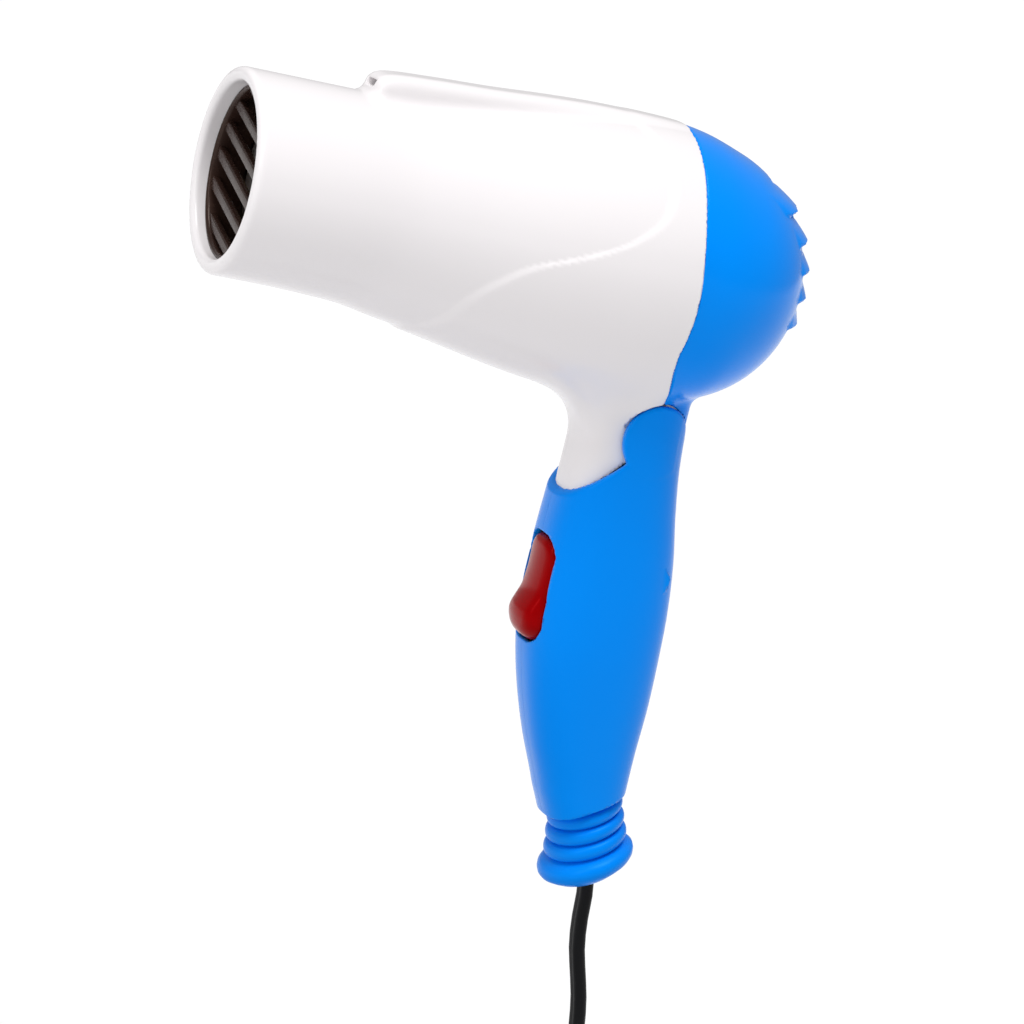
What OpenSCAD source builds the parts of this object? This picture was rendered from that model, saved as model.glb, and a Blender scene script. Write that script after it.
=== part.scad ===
// Folding hair dryer with a rear axial fan, a mica heater and a rocker switch.
// Frame: origin at the middle of the grip, +Z up, nozzle towards -X, sides along Y.

/* [Barrel] */
// Height of the barrel axis above the grip point
axis_h = 95; // [93:0.5:97]
// Distance of the nozzle mouth in front of the grip point
mouth_d = 115; // [112:0.5:118]
// Outer radius of the nozzle, which a push-on concentrator fits
nozzle_r = 23.4; // [23:0.1:24]
// Length of the straight seat on the nozzle
seat_l = 22; // [18:0.5:24]
// Radius of the mouth opening inside the rolled lip
mouth_r = 19.8; // [19:0.1:20.5]
// Outer radius of the fan housing
housing_r = 31.4; // [30:0.1:32]
// Distance from the mouth to the seam of the rear cover
seam_l = 106; // [104:0.5:108]
// Depth of the dome on the rear cover
cover_l = 31.5; // [31:0.1:38]
// Wall thickness of the mouldings
wall = 2; // [1.6:0.1:2.2]
// Height of the top spine above the axis at its front end
spine_h = 28.6; // [27:0.1:30]
// Half width of the top spine
spine_w = 6; // [5:0.1:7]

/* [Intake] */
// Number of ribs across the intake
rib_count = 5; // [4:1:6]
// Distance between the ribs
rib_pitch = 6.5; // [6:0.1:7]
// How far a rib stands proud of the dome
rib_h = 0.9; // [0.5:0.1:1.2]
// Height of the slots between the ribs
slot_h = 2.6; // [2:0.1:3]

/* [Handle] */
// Height of the fold pivot above the grip point
pivot_h = 53; // [52:0.1:54]
// Radius of the round ears on the pivot
ear_r = 8.8; // [8.5:0.1:9]
// Half width of the slot between the ears
ear_gap = 10.2; // [10:0.1:10.4]
// Thickness of an ear
ear_t = 2.2; // [2:0.1:2.5]
// Radius of the pivot stubs on the ears
stub_r = 3.5; // [3:0.1:4]
// Wall of the handle shells
grip_wall = 1.8; // [1.6:0.1:2]
// Tilt of the handle's lower end and of the boot
boot_tilt = 17.5; // [16:0.5:19]

/* [Rocker switch] */
// Length of the rocker
rocker_l = 25; // [24:0.5:26]
// Width of the rocker
rocker_w = 13.4; // [12:0.1:16.4]
// Radius of the rocker's pivot pins
rocker_pin_r = 1.2; // [1:0.1:1.4]

/* [Fan and motor] */
// Radius over the fan blades
fan_r = 26.6; // [26:0.1:27]
// Number of fan blades
blade_count = 7; // [5:1:9]
// Radius of the motor can
motor_r = 12; // [11.5:0.1:12.5]
// Length of the motor can
motor_l = 25; // [24:0.5:27]
// Radius of the motor shaft
shaft_r = 1; // [0.8:0.1:1.2]

/* [Cord] */
// Thickness of the flat twin cord
cord_t = 3.3; // [3.2:0.1:3.4]
// Width of the flat twin cord
cord_w = 5.2; // [5:0.1:5.4]
// Radius of the plug pins
pin_r = 2; // [1.9:0.05:2.1]
// Free length of the plug pins
pin_l = 19; // [18:0.5:20]
// Distance between the plug pins
pin_pitch = 19; // [18:0.5:20]

/* [Hidden] */
$fn = 96;
EPS = 0.01;
blue = [0, 0.5, 0.94];
seam_gap = 0.05;                          // half of the gap between the handle shells

// Outline of the barrel as radius over the distance from the mouth
taper_a = 2 + seat_l;                     // where the nozzle starts to widen
taper_b = 104;                            // where the housing is at full size
function ease(t) = let (u = max(0, min(1, t))) u * u * (3 - 2 * u);
function barrel_r(x) = nozzle_r + (housing_r - nozzle_r) * ease((x - taper_a) / (taper_b - taper_a));

// Smooth curve through a list of stations, each [position, value, ...]
function cubic(a, b, c, d, t) =
    b + 0.5 * t * (c - a + t * (2 * a - 5 * b + 4 * c - d + t * (3 * (b - c) + d - a)));
function pick(v, i) = v[max(0, min(len(v) - 1, i))];
function fill_in(v, steps) = concat(
    [for (i = [0 : len(v) - 2], s = [0 : steps - 1])
        cubic(pick(v, i - 1), v[i], v[i + 1], pick(v, i + 2), s / steps)],
    [v[len(v) - 1]]);

// Closed solid through rings with the same number of points, each anticlockwise from its far end
module loft(rings) {
    n = len(rings[0]);
    m = len(rings);
    side = [for (j = [0 : m - 2], i = [0 : n - 1])
        [j * n + i, (j + 1) * n + i, (j + 1) * n + (i + 1) % n, j * n + (i + 1) % n]];
    ends = [[for (i = [0 : n - 1]) i], [for (i = [n - 1 : -1 : 0]) (m - 1) * n + i]];
    polyhedron([for (r = rings) each r], concat(side, ends), convexity = 6);
}

// Tube with a flattened section swept along a path in or near the XZ plane
function unit(v) = v / norm(v);
function heading(p, i) = unit(pick(p, i + 1) - pick(p, i - 1));
module sweep(path, thick, wide, sides = 8) {
    loft([for (i = [0 : len(path) - 1])
        let (t = heading(path, i), v = unit([0, 1, 0] - t[1] * t), u = cross(v, t))
        [for (k = [0 : sides - 1])
            let (a = (k + 0.5) * 360 / sides, f = 1 / cos(180 / sides))
            path[i] + f * (u * cos(a) * thick / 2 + v * sin(a) * wide / 2)]]);
}

// Places its children with local Z along the barrel, measured back from the mouth
module on_barrel(x = 0) {
    translate([x - mouth_d, 0, axis_h]) rotate([0, 90, 0]) children();
}
// Extrudes an XZ outline evenly to both sides of the middle plane
module side_slab(half) {
    translate([0, half, 0]) rotate([90, 0, 0]) linear_extrude(2 * half) children();
}
module at_pivot() {
    translate([0, 0, pivot_h]) children();
}
module y_rod(r, y0, y1) {
    translate([0, y1, 0]) rotate([90, 0, 0]) cylinder(r = r, h = y1 - y0);
}

// ---- Head: barrel, neck and rear cover ------------------------------------------------

neck_front = -16.8;                       // front face of the neck
neck_half = 9.8;                          // half width of the neck
neck_fillet = 7;                          // round between the neck and the barrel
belly_z = 60.1;                           // underside of the barrel in front of the neck
drum_r = 8.2;                             // round end of the neck between the ears
neck_split = -1.7;                        // where the neck ends and the cover's tail starts
tuck = 226.3;                             // direction from the pivot of the neck's hidden edge
dome_foot = axis_h - housing_r - 0.2;     // just under the rear cover
// Underside of the barrel from the nozzle to the neck, [x, z]
belly = [[-84, 71.2], [-74, 68.2], [-64, 66.8], [-52, 64.4], [-40, 61.9], [-28, 60.2]];

function polar(r, a) = [r * cos(a), pivot_h + r * sin(a)];
// Side outline of the belly and the neck, made smaller by the wall inset
module neck_outline(inset) {
    x0 = neck_front + inset;
    fc = [neck_front - neck_fillet, belly_z - neck_fillet];
    polygon(concat(
        [for (p = belly) p + [0, inset]],
        [for (a = [80 : -10 : 0]) fc + (neck_fillet + inset) * [cos(a), sin(a)]],
        [[x0, pivot_h + x0 * tan(tuck)], [0, pivot_h], [neck_split, pivot_h + 6],
         [neck_split, dome_foot], [seam_l - mouth_d - 0.05, dome_foot],
         [seam_l - mouth_d - 0.05, axis_h - 28], [-14, axis_h - 26], [-84, axis_h - 20]]));
}
module neck_plan(inset) {
    // Rounded front, straight towards the back
    intersection() {
        translate([-3, 0]) polygon([for (a = [0 : 10 : 350])
            let (c = cos(a), s = sin(a), k = pow(pow(abs(c), 3) + pow(abs(s), 3), -1 / 3))
            [(13.8 - inset) * c * k, (neck_half - inset) * s * k]]);
        translate([-60, -20]) square([80, 40]);
    }
}
module neck_solid(inset) {
    intersection() {
        side_slab(neck_half - inset) neck_outline(inset);
        union() {
            translate([0, 0, 20]) linear_extrude(60) neck_plan(inset);
            translate([-90, -neck_half + inset, 57]) cube([86, 2 * (neck_half - inset), 24]);
        }
    }
    at_pivot() y_rod(drum_r - inset, -neck_half + inset, neck_half - inset);
}
module barrel_outer() {
    on_barrel() rotate_extrude() polygon(concat(
        [[0, 0.8], [mouth_r + 0.4, 0.8], [mouth_r + 1.2, 0.2], [mouth_r + 1.8, 0],
         [nozzle_r - 0.9, 0.3], [nozzle_r - 0.25, 1]],
        [[nozzle_r, 2]],
        [for (x = [taper_a : 8 : seam_l - 0.5]) [barrel_r(x), x]],
        [[housing_r, seam_l], [0, seam_l]]));
}
module barrel_bore() {
    on_barrel() rotate_extrude() polygon(concat(
        [[0, -1], [mouth_r, -1], [mouth_r, 3.4], [nozzle_r - wall, 4.6]],
        [for (x = [taper_a : 8 : seam_l - 0.5]) [barrel_r(x) - wall, x]],
        [[housing_r - wall, seam_l + 1], [0, seam_l + 1]]));
}
module spine() {
    intersection() {
        side_slab(spine_w) polygon([[-85.6, axis_h + 20], [-85.6, axis_h + 25.6],
            [-84.6, axis_h + 27.8], [-82, axis_h + spine_h], [-72, axis_h + 29.4],
            [-57, axis_h + 30.3], [-42, axis_h + 31.5], [-30, axis_h + 32.2],
            [-18, axis_h + 32.1], [-10, axis_h + 31.6], [seam_l - mouth_d, axis_h + 31.2],
            [seam_l - mouth_d, axis_h + 20]]);
        on_barrel() cylinder(r = 32.3, h = seam_l);
    }
}
module barrel_shell() {
    color("white") difference() {
        union() {
            barrel_outer();
            spine();
            neck_solid(0);
        }
        barrel_bore();
        neck_solid(wall);
        at_pivot() y_rod(stub_r + 0.06, -neck_half - 1, neck_half + 1);
        // way for the leads, open over the whole fold
        side_slab(6) polygon([polar(0, 0), polar(14, 228), polar(14, 273), polar(14, 318)]);
        // ion outlet in the front of the spine
        translate([-90, -2.6, axis_h + 25.2]) cube([8, 5.2, 1.6]);
    }
}

rib_top = axis_h + 16.2;                  // height of the highest rib
rib_half = 19;                            // half length of the ribs
module cover_slots() {
    for (i = [0 : rib_count])
        translate([12, -rib_half + 2 + abs(i - 2.5) * 1.6, rib_top + (0.5 - i) * rib_pitch - slot_h / 2])
            cube([30, 2 * (rib_half - 2 - abs(i - 2.5) * 1.6), slot_h]);
}
dome_x = 112;                             // where the dome starts behind the mouth
module dome(r, l, lead) {
    // the straight length in front of the dome starts lead behind the mouth
    on_barrel(dome_x) rotate_extrude() polygon(concat([[0, lead - dome_x], [r, lead - dome_x]],
        [for (a = [0 : 6 : 84]) [r * cos(a), l * sin(a)]], [[0, l]]));
}
// Back of the cover's tail from its lower end up, [x, z]
tail_back = [[9.6, pivot_h], [9.2, pivot_h + 3.5], [8.8, pivot_h + 6.5], [9, pivot_h + 9.5],
    [10.4, pivot_h + 11.6], [14, pivot_h + 12.6]];
stop_gap = 0.15;                          // play between the tail and the handle when open
module cover_tail() {
    intersection() {
        side_slab(neck_half) polygon(concat(
            [for (a = [102 : -6 : 12]) polar(drum_r + 0.25, a)], tail_back,
            [[14, axis_h - 26], [neck_split - 0.6, axis_h - 26]]));
        translate([neck_split + 0.1, -neck_half, pivot_h + stop_gap + 2]) cube([40, 2 * neck_half, 40]);
    }
}
module rear_cover() {
    color(blue) difference() {
        union() {
            dome(housing_r, cover_l, seam_l);
            // spigot that clips inside the barrel
            on_barrel(seam_l - 3) cylinder(r = housing_r - wall - 0.1, h = 4);
            intersection() {
                dome(housing_r + rib_h, cover_l + rib_h, dome_x - 1);
                for (i = [0 : rib_count - 1])
                    translate([16, -rib_half, rib_top - i * rib_pitch - 1.1]) cube([30, 2 * rib_half, 2.2]);
            }
            cover_tail();
        }
        dome(housing_r - wall, cover_l - wall, seam_l + 2);
        on_barrel(seam_l - 4) cylinder(r = housing_r - 2 * wall, h = 7);
        cover_slots();
    }
}

screen_x = dome_x + 11;                   // fine screen inside the cover
module intake_screen() {
    color("dimgray") on_barrel(screen_x) difference() {
        cylinder(r = 26.6, h = 0.8);
        for (i = [-3 : 3], j = [-3 : 3])
            if (norm([i, j]) < 3.6) translate([i * 6.4 - 2.6, j * 6.4 - 2.6, -1]) cube([5.2, 5.2, 3]);
    }
}

grille_x = 3.6;                           // front of the outlet grille
slat_turn = -75;                          // direction of the slats round the barrel
slat_pitch = 6.6;                         // distance between the slats
module outlet_grille() {
    color([0.12, 0.07, 0.05]) on_barrel() difference() {
        union() {
            translate([0, 0, grille_x]) difference() {
                union() {
                    cylinder(r = mouth_r - 0.1, h = 2);
                    translate([0, 0, 1.2]) cylinder(r = nozzle_r - wall - 0.15, h = 7);
                }
                translate([0, 0, -1]) cylinder(r = mouth_r - 1.8, h = 12);
            }
            // slanted slats and the bar that ties them together
            intersection() {
                translate([0, 0, grille_x + 0.6]) cylinder(r = mouth_r - 1, h = 5);
                union() {
                    for (i = [-2.5 : 2.5]) rotate(slat_turn) translate([-25, i * slat_pitch - 1.3, 0]) cube([50, 2.6, 12]);
                    rotate(slat_turn + 90) translate([-25, -1.2, grille_x + 2.6]) cube([50, 2.4, 3]);
                }
            }
        }
    }
}

// ---- Heater ---------------------------------------------------------------------------

heater_a = 15;                            // front end of the mica boards
heater_b = 67;                            // rear end of the mica boards
module mica_sleeve() {
    color("tan") on_barrel(heater_a - 1) difference() {
        cylinder(r = 20.9, h = heater_b - heater_a + 2);
        translate([0, 0, -1]) cylinder(r = 20.3, h = heater_b - heater_a + 4);
    }
}
module mica_boards() {
    color("burlywood") on_barrel(heater_a) for (a = [45, 135]) rotate(a)
        translate([-19.8, -0.3, 0]) cube([39.6, 0.6, heater_b - heater_a]);
}
coil_rows = 8;                            // turns of the heater winding
module heater_coils() {
    color("silver") on_barrel() for (i = [0 : coil_rows - 1])
        translate([0, 0, heater_a + 5 + i * 5]) for (q = [0 : 3])
            rotate(q * 90 - 43) rotate_extrude(angle = 86)
                translate([17.2, 0]) circle(r = 1.2, $fn = 24);
}
module thermostat() {
    color("gainsboro") on_barrel(heater_b - 12) rotate(45) {
        translate([3, 0.35, 0]) cube([9, 4, 8]);
        translate([4.5, 4.35, 2]) cube([6, 0.6, 4]);
    }
}
module thermal_fuse() {
    color("gold") on_barrel(heater_b - 14) rotate(135) translate([8, 2.1, 0]) {
        cylinder(r = 1.7, h = 9);
        translate([0, 0, -4]) cylinder(r = 0.5, h = 17);
    }
}

// ---- Motor and fan --------------------------------------------------------------------

motor_x = 78;                             // front of the motor can
fan_x = 105;                              // front of the fan hub
fan_l = 9;                                // length of the fan hub
vane_count = 6;                           // air guide vanes around the motor
module motor_carrier() {
    color("ivory") on_barrel(motor_x + 4) difference() {
        union() {
            difference() {
                cylinder(r1 = barrel_r(motor_x + 4) - wall - 0.3, r2 = barrel_r(motor_x + 22) - wall - 0.3, h = 18);
                translate([0, 0, -1]) cylinder(r1 = 24.6, r2 = 26.9, h = 20);
            }
            cylinder(r = motor_r + 1.6, h = 18);
            for (k = [0 : vane_count - 1]) rotate(k * 360 / vane_count)
                translate([motor_r + 1, -0.6, 2]) cube([13, 1.2, 14]);
        }
        translate([0, 0, -1]) cylinder(r = motor_r + 0.05, h = 20);
    }
}
module motor_can() {
    color("silver") on_barrel(motor_x) difference() {
        union() {
            cylinder(r = motor_r, h = motor_l);
            cylinder(r = 4, h = motor_l + 1.2);
        }
        translate([0, 0, -1]) cylinder(r = motor_r - 1, h = motor_l);
        cylinder(r = 3, h = motor_l + 4);
    }
}
module motor_end_cap() {
    color("black") on_barrel(motor_x) difference() {
        translate([0, 0, -2]) cylinder(r = motor_r - 1.05, h = 4);
        translate([0, 0, -3]) cylinder(r = 3, h = 8);
    }
}
module motor_bushes() {
    color("darkgoldenrod") for (x = [motor_x - 2, motor_x + motor_l - 2]) on_barrel(x) difference() {
        cylinder(r = 3, h = 3.2);
        translate([0, 0, -1]) cylinder(r = shaft_r + 0.03, h = 6);
    }
}
module armature() {
    color("sienna") on_barrel(motor_x + 6) difference() {
        union() {
            for (k = [0 : 2]) rotate(k * 120) intersection() {
                cylinder(r = motor_r - 2.4, h = 12);
                union() {
                    translate([0, -1.8, 0]) cube([12, 3.6, 12]);
                    translate([7.4, -6, 0]) cube([3, 12, 12]);
                }
            }
            cylinder(r = 3, h = 14);
        }
        translate([0, 0, -1]) cylinder(r = shaft_r, h = 20);
    }
}
module motor_shaft() {
    color("lightgray") on_barrel(motor_x - 3) cylinder(r = shaft_r, h = fan_x + fan_l - 1 - motor_x + 3);
}
blade_t = 1.4;                            // blade thickness
module impeller() {
    color([0.2, 0.2, 0.22]) on_barrel(fan_x) difference() {
        union() {
            cylinder(r = 9, h = fan_l - 1.5);
            translate([0, 0, fan_l - 1.5]) cylinder(r1 = 9, r2 = 6.5, h = 1.5);
            intersection() {
                cylinder(r = fan_r, h = fan_l);
                for (k = [0 : blade_count - 1]) rotate(k * 360 / blade_count)
                    rotate([38, 0, 0]) translate([6, -blade_t / 2, -8]) cube([26, blade_t, 30]);
            }
        }
        translate([0, 0, -1]) cylinder(r = 7.4, h = 5.5);
        translate([0, 0, -1]) cylinder(r = shaft_r, h = fan_l);
    }
}
module rectifier_diodes() {
    color("black") on_barrel(motor_x - 6) for (k = [0 : 3]) rotate(k * 90 + 20)
        translate([7.5, -2.5, 0]) rotate([-90, 0, 0]) cylinder(r = 1.3, h = 5);
}
module suppression_capacitor() {
    color("orangered") on_barrel(motor_x - 9) translate([-3.5, -1.6, 0]) cube([7, 3.2, 5]);
}
// Red and black leads from the hinge through the neck to the heater
head_lead_path = [[-3, 0, 57], [-5.5, 0, 59.5], [-9, 0, 61.5], [-13, 0, 63.2], [-18, 0, 64], [-26, 0, 64.3],
    [-34, 0, 66.5], [-38, 0, 72], [-40, 0, 78]];
module head_leads() {
    for (s = [[-3, "crimson"], [0, "black"], [3, "ivory"]])
        color(s[1]) translate([0, s[0], 0]) sweep(fill_in(head_lead_path, 2), 1.8, 1.8);
}

// ---- Handle ---------------------------------------------------------------------------

// Stations of the handle from the top down, [z, front x, rear x, half width]
grip_stations = [[64, -18.6, 9.2, 12.4], [46, -18.8, 10.4, 12.4], [36, -18.8, 12.5, 12.5],
    [24, -18.6, 15.2, 12.9], [12, -18.3, 16.9, 13.3], [0, -16.9, 17.7, 13.3],
    [-12, -13.7, 18.2, 12.6], [-24, -9.2, 18.1, 11.5], [-36, -3.6, 18.4, 10.4],
    [-48, 1.2, 19, 9.8]];
grip_e = 2.7;                             // squareness of the handle's sections
function grip_ring(s, inset) =
    let (cx = (s[1] + s[2]) / 2, a = (s[2] - s[1]) / 2 - inset, b = s[3] - inset)
    [for (i = [0 : 31])
        let (c = cos(i * 11.25), n = sin(i * 11.25),
            k = pow(pow(abs(c), grip_e) + pow(abs(n), grip_e), -1 / grip_e))
        [cx + a * c * k, b * n * k, s[0]]];
module grip_loft(inset) {
    // the inner surface runs past both ends of the outer one
    n = len(grip_stations) - 1;
    loft([for (i = [n : -1 : 0])
        grip_ring(grip_stations[i] + [i == n ? -inset : (i == 0 ? inset : 0), 0, 0, 0], inset)]);
}
// Middle of the slanted lower end of the handle, where the boot starts
boot_at = [9.9, 0, -40];
module on_boot() {
    translate(boot_at) rotate([0, 180 - boot_tilt, 0]) children();
}
cut_dir = 222;                            // direction from the pivot of the handle's top edge
module grip_outline() {
    // everything below the top edge, in the XZ plane
    polygon([polar(40, cut_dir), polar(ear_r, cut_dir), polar(2, 250), polar(2, 330),
        [drum_r, pivot_h + 2], [30, pivot_h + 2], [40, -70], [-40, -70]]);
}
switch_x = -12.2;                         // place of the rocker's pivot behind the front
switch_z = 13.6;                          // and its height
boss_at = [[9.6, 20, 10.8], [2.4, -19, 11]];   // screw bosses, [x, z, half length]
clamp_at = [[6.2, -28], [12.8, -28]];     // posts of the cord clamp, [x, z]
clamp_y = -2.75;                          // where the clamp bar rests on its posts
screw_r = 1.25;                           // thread of the small screws
module grip_shell(s) {
    difference() {
        union() {
            difference() {
                intersection() {
                    grip_loft(0);
                    side_slab(20) grip_outline();
                }
                difference() {
                    grip_loft(grip_wall);
                    on_boot() translate([-30, -30, -1.6]) cube([60, 60, 20]);
                }
                at_pivot() y_rod(drum_r + 0.35, -ear_gap, ear_gap);
            }
            at_pivot() y_rod(ear_r, s * ear_gap - (s > 0 ? 0 : ear_t), s * ear_gap + (s > 0 ? ear_t : 0));
            for (p = boss_at) translate([p[0], 0, p[1]]) y_rod(3, s > 0 ? 0 : -p[2], s > 0 ? p[2] : 0);
        }
        // slanted lower end with the seat of the boot
        on_boot() translate([-30, -30, 0]) cube([60, 60, 60]);
        on_boot() translate([0, 0, -3]) cylinder(r = 6.5, h = 10);
        translate([-30, -rocker_w / 2 - 0.5, switch_z - rocker_l / 2 - 1])
            cube([17, rocker_w + 1, rocker_l + 2]);
        translate([-50, s > 0 ? -50 : -seam_gap, -80]) cube([100, 50 + seam_gap, 180]);
        for (p = boss_at) translate([p[0], 0, p[1]]) if (s > 0) {
            y_rod(screw_r + 0.25, -1, 20);
            y_rod(2.6, p[2] - 2.4, 20);
        } else y_rod(screw_r, -p[2] + 2, 1);
    }
    at_pivot() y_rod(stub_r, s > 0 ? 7.2 : -ear_gap - 0.5, s > 0 ? ear_gap + 0.5 : -7.2);
}
module handle_left() {
    color(blue) grip_shell(-1);
}
module handle_right() {
    color(blue) difference() {
        union() {
            grip_shell(1);
            for (p = clamp_at) translate([p[0], 0, p[1]]) y_rod(1.45, clamp_y, 9.6);
        }
        for (p = clamp_at) translate([p[0], 0, p[1]]) y_rod(0.9, clamp_y - 1, 4);
    }
}
module handle_screws() {
    color("silver") for (p = boss_at) translate([p[0], 0, p[1]]) {
        y_rod(screw_r, -p[2] + 3, p[2] - 2.4);
        difference() {
            y_rod(2.4, p[2] - 2.4, p[2] - 1);
            for (a = [0, 90]) rotate([0, a, 0]) translate([-1.4, p[2] - 1.8, -0.3]) cube([2.8, 2, 0.6]);
        }
    }
}
module detent_spring() {
    color("lightsteelblue") side_slab(3) polygon([[9.8, 30], [10.2, 30], [9.3, 38], [8, 44.2],
        [8.2, 46.4], [7.4, 48.2], [7, 48], [7.7, 46.4], [7.5, 44.2], [8.9, 38]]);
}

// ---- Switch ---------------------------------------------------------------------------

// Side outline of the rocker in its off position, about its pivot, [x, z]
rocker_face = [[-5.2, 12], [-6.4, 11.8], [-6.9, 10.6], [-7.1, 6], [-7.5, 1], [-8.6, -2.6],
    [-9.8, -5.2], [-10.2, -6.7], [-9.5, -8.4], [-7, -11], [-5, -12.2]];
module switch_rocker() {
    color("firebrick") translate([switch_x, 0, switch_z]) difference() {
        union() {
            side_slab(rocker_w / 2) polygon(concat(rocker_face, [[-2, -10.5], [1.6, -3], [1.6, 3], [-2, 10.5]]));
            y_rod(rocker_pin_r, -rocker_w / 2 - 0.9, rocker_w / 2 + 0.9);
        }
        side_slab(rocker_w / 2 - 1.4) polygon([[-3.4, -7.5], [3, -7.5], [3, 7.5], [-3.4, 7.5]]);
    }
}
housing_half = 7.2;                         // half width of the switch housing
housing_h = 14.6;                         // half height of the switch housing
module switch_housing() {
    color("ivory") translate([switch_x, 0, switch_z]) difference() {
        side_slab(housing_half) polygon([[-2.2, housing_h], [-2.2, -4], [-0.4, -housing_h],
            [10.8, -housing_h], [10.8, housing_h]]);
        translate([-6, -rocker_w / 2 - 0.15, -housing_h + 0.9])
            cube([14.5, rocker_w + 0.3, 2 * housing_h - 1.8]);
        y_rod(rocker_pin_r + 0.05, -housing_half - 1, housing_half + 1);
        for (z = [-8, 0, 8]) translate([8, -2.4, z - 0.4]) cube([5, 4.8, 0.8]);
    }
}
module switch_contacts() {
    color("goldenrod") translate([switch_x, 0, switch_z]) for (z = [-8, 0, 8])
        translate([8, -2.35, z - 0.35]) cube([9, 4.7, 0.7]);
}

// ---- Leads and cord -------------------------------------------------------------------

// Leads from the switch past the neck's swing to the pivot, then the mains cores
up_path = [[5.2, 0, 21.6], [6.4, 0, 24], [6.4, 0, 30], [6, 0, 36], [5, 0, 41], [3.2, 0, 46], [1.2, 0, 50.6]];
core_path = [[9.5, 0, -22.5], [9.5, 0, -17], [9.4, 0, -12], [9.4, 0, -6.7]];
feed_path = [[9.4, 0, 3.3], [8.8, 0, 5], [7, 0, 5.6], [5.2, 0, 5.6]];
lead_side = 2.6;                          // side step between the leads
module handle_leads() {
    for (s = [[-lead_side, "crimson"], [0, "black"], [lead_side, "ivory"]])
        color(s[1]) translate([0, s[0], 0]) sweep(fill_in(up_path, 2), 1.8, 1.8);
    for (s = [[-1.4, "sienna"], [1.4, "royalblue"]]) color(s[1]) translate([0, s[0], 0]) {
        sweep(core_path, 1.9, 1.9);
        sweep(feed_path, 1.9, 1.9);
    }
}
module crimp_caps() {
    color("whitesmoke") for (y = [-3.2, 3.2]) translate([9.4, y, -6.4]) difference() {
        cylinder(r = 3, h = 9.2);
        translate([0, 0, -1]) cylinder(r = 2.9, h = 2);
    }
}
clamp_x = 9.5;                            // middle of the cord under the clamp
module cord_clamp() {
    color("ivory") difference() {
        translate([4.6, clamp_y - 2.2, -31]) cube([9.8, 2.2, 6]);
        for (p = clamp_at) translate([p[0], 0, p[1]]) y_rod(1.1, -10, 0);
    }
}
module clamp_screws() {
    color("silver") for (p = clamp_at) translate([p[0], 0, p[1]]) {
        y_rod(0.9, clamp_y - 2.2, 3);
        y_rod(1.5, clamp_y - 3.2, clamp_y - 2.2);
    }
}
boot_l = 18.4;                            // length of the boot below the handle
// Bellows of the boot: middle, outer radius and half thickness of each ring
boot_rings = [[1.7, 9.8, 1.5], [5.2, 10.1, 1.5], [8.8, 10.5, 1.6], [13.8, 11.6, 3]];
module cord_boot() {
    color(blue) on_boot() difference() {
        rotate_extrude() {
            polygon([[0, -4.2], [7.3, -4.2], [7.3, -1.9], [6.4, -1.9], [6.4, 0.25], [8.4, 0.25],
                [8.7, 14], [9.4, 16.6], [7, boot_l], [0, boot_l]]);
            for (b = boot_rings) translate([8, b[0]]) polygon([for (a = [-90 : 15 : 90])
                [(b[1] - 8) * cos(a), b[2] * sin(a)]]);
        }
        translate([-cord_t / 2 - 0.05, -cord_w / 2 - 0.05, -6]) cube([cord_t + 0.1, cord_w + 0.1, 30]);
        translate([0, 0, -5]) cylinder(r = 5.2, h = 4.4);
    }
}
function below_boot(t) = [boot_at[0] + t * sin(boot_tilt), 0, boot_at[2] - t * cos(boot_tilt)];
module cord_entry() {
    color([0.1, 0.1, 0.1]) sweep([[clamp_x, 0, -23], [clamp_x, 0, -28], [9.3, 0, -33], [9.3, 0, -36.6],
        below_boot(0), below_boot(6), below_boot(12), below_boot(boot_l - EPS)], cord_t, cord_w);
}
// Route of the cord from the boot down to the tied hank
lead_route = [below_boot(boot_l), below_boot(boot_l + 1.6), [16.4, 0, -62], [16.6, 0, -65], [16.8, 0, -68], [17.3, 0, -72],
    [18.1, 0, -76], [19.3, 0, -80], [20.6, 0, -84], [21.8, 0, -88], [22.7, 0, -92], [23.4, 0, -96],
    [23.8, 0, -100], [24, 0, -104], [24, 0, -108]];
module cord_lead() {
    color([0.1, 0.1, 0.1]) sweep(lead_route, cord_t, cord_w);
}
// The spare cord is wound into a hank, drawn in at its middle by the tie
hank_at = [24, 5.3, -173.1];              // middle of the hank's front layer
hank_run = 39;                            // half length of the runs
hank_fold = 15.8;                         // radius of the innermost folds
hank_waist = 5;                           // half width between the innermost runs
hank_pitch = 3.4;                         // distance between turns side by side
hank_turns = 2.5;                         // turns in each of the two layers
hank_out = hank_turns * hank_pitch + cord_t / 2;
function hank_x(z) = hank_out + hank_waist + (hank_fold - hank_waist) * ease(abs(z) / hank_run);
module hank_outline() {
    r = hank_fold + hank_out;
    polygon(concat(
        [for (a = [171 : -9 : 9]) [r * cos(a), hank_run + r * sin(a)]],
        [for (i = [6 : -1 : -6]) [hank_x(i * hank_run / 6), i * hank_run / 6]],
        [for (a = [-9 : -9 : -171]) [r * cos(a), -hank_run + r * sin(a)]],
        [for (i = [-6 : 6]) [-hank_x(i * hank_run / 6), i * hank_run / 6]]));
}
hank_front = -cord_w / 2 - 0.05;          // front and back faces of the hank
hank_back = 2.5 * 5.3;
module cord_hank() {
    color([0.13, 0.13, 0.13]) translate([hank_at[0], hank_back, hank_at[2]]) rotate([90, 0, 0])
        linear_extrude(hank_back - hank_front) hank_outline();
}
tie_half = 5.5;                           // half width of the tie's band
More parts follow.
